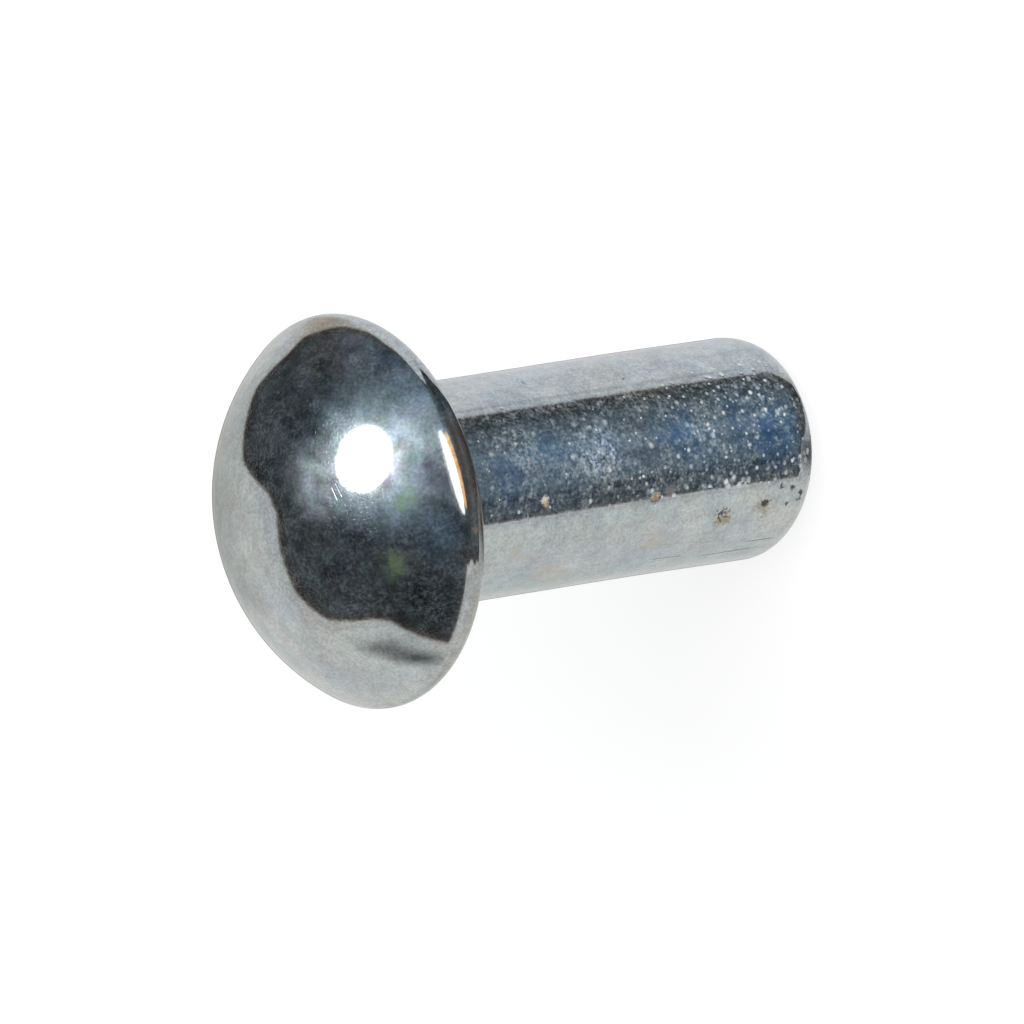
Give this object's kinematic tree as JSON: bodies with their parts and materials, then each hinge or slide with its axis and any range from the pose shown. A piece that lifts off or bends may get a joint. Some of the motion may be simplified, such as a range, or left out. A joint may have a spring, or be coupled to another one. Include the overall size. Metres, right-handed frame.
{
  "type": "round head rivet",
  "caption": "Solid round head rivet: a domed head with a rounded rim on a plain cylindrical shank whose end is flat with a rounded edge.",
  "frame": {"origin": "centre of the flat end of the shank, on which the rivet stands", "axes": "+Z along the rivet's axis, from the end of the shank up to the head; the rivet is round about Z"},
  "size_m": [0.0142, 0.0142, 0.0228],
  "materials": {
    "zinc_plate": "bright zinc plate, faintly bluish and mottled, with a fine grain and a few pits"
  },
  "bodies": {
    "root": {"rivet": "zinc_plate"}
  },
  "joints": []
}
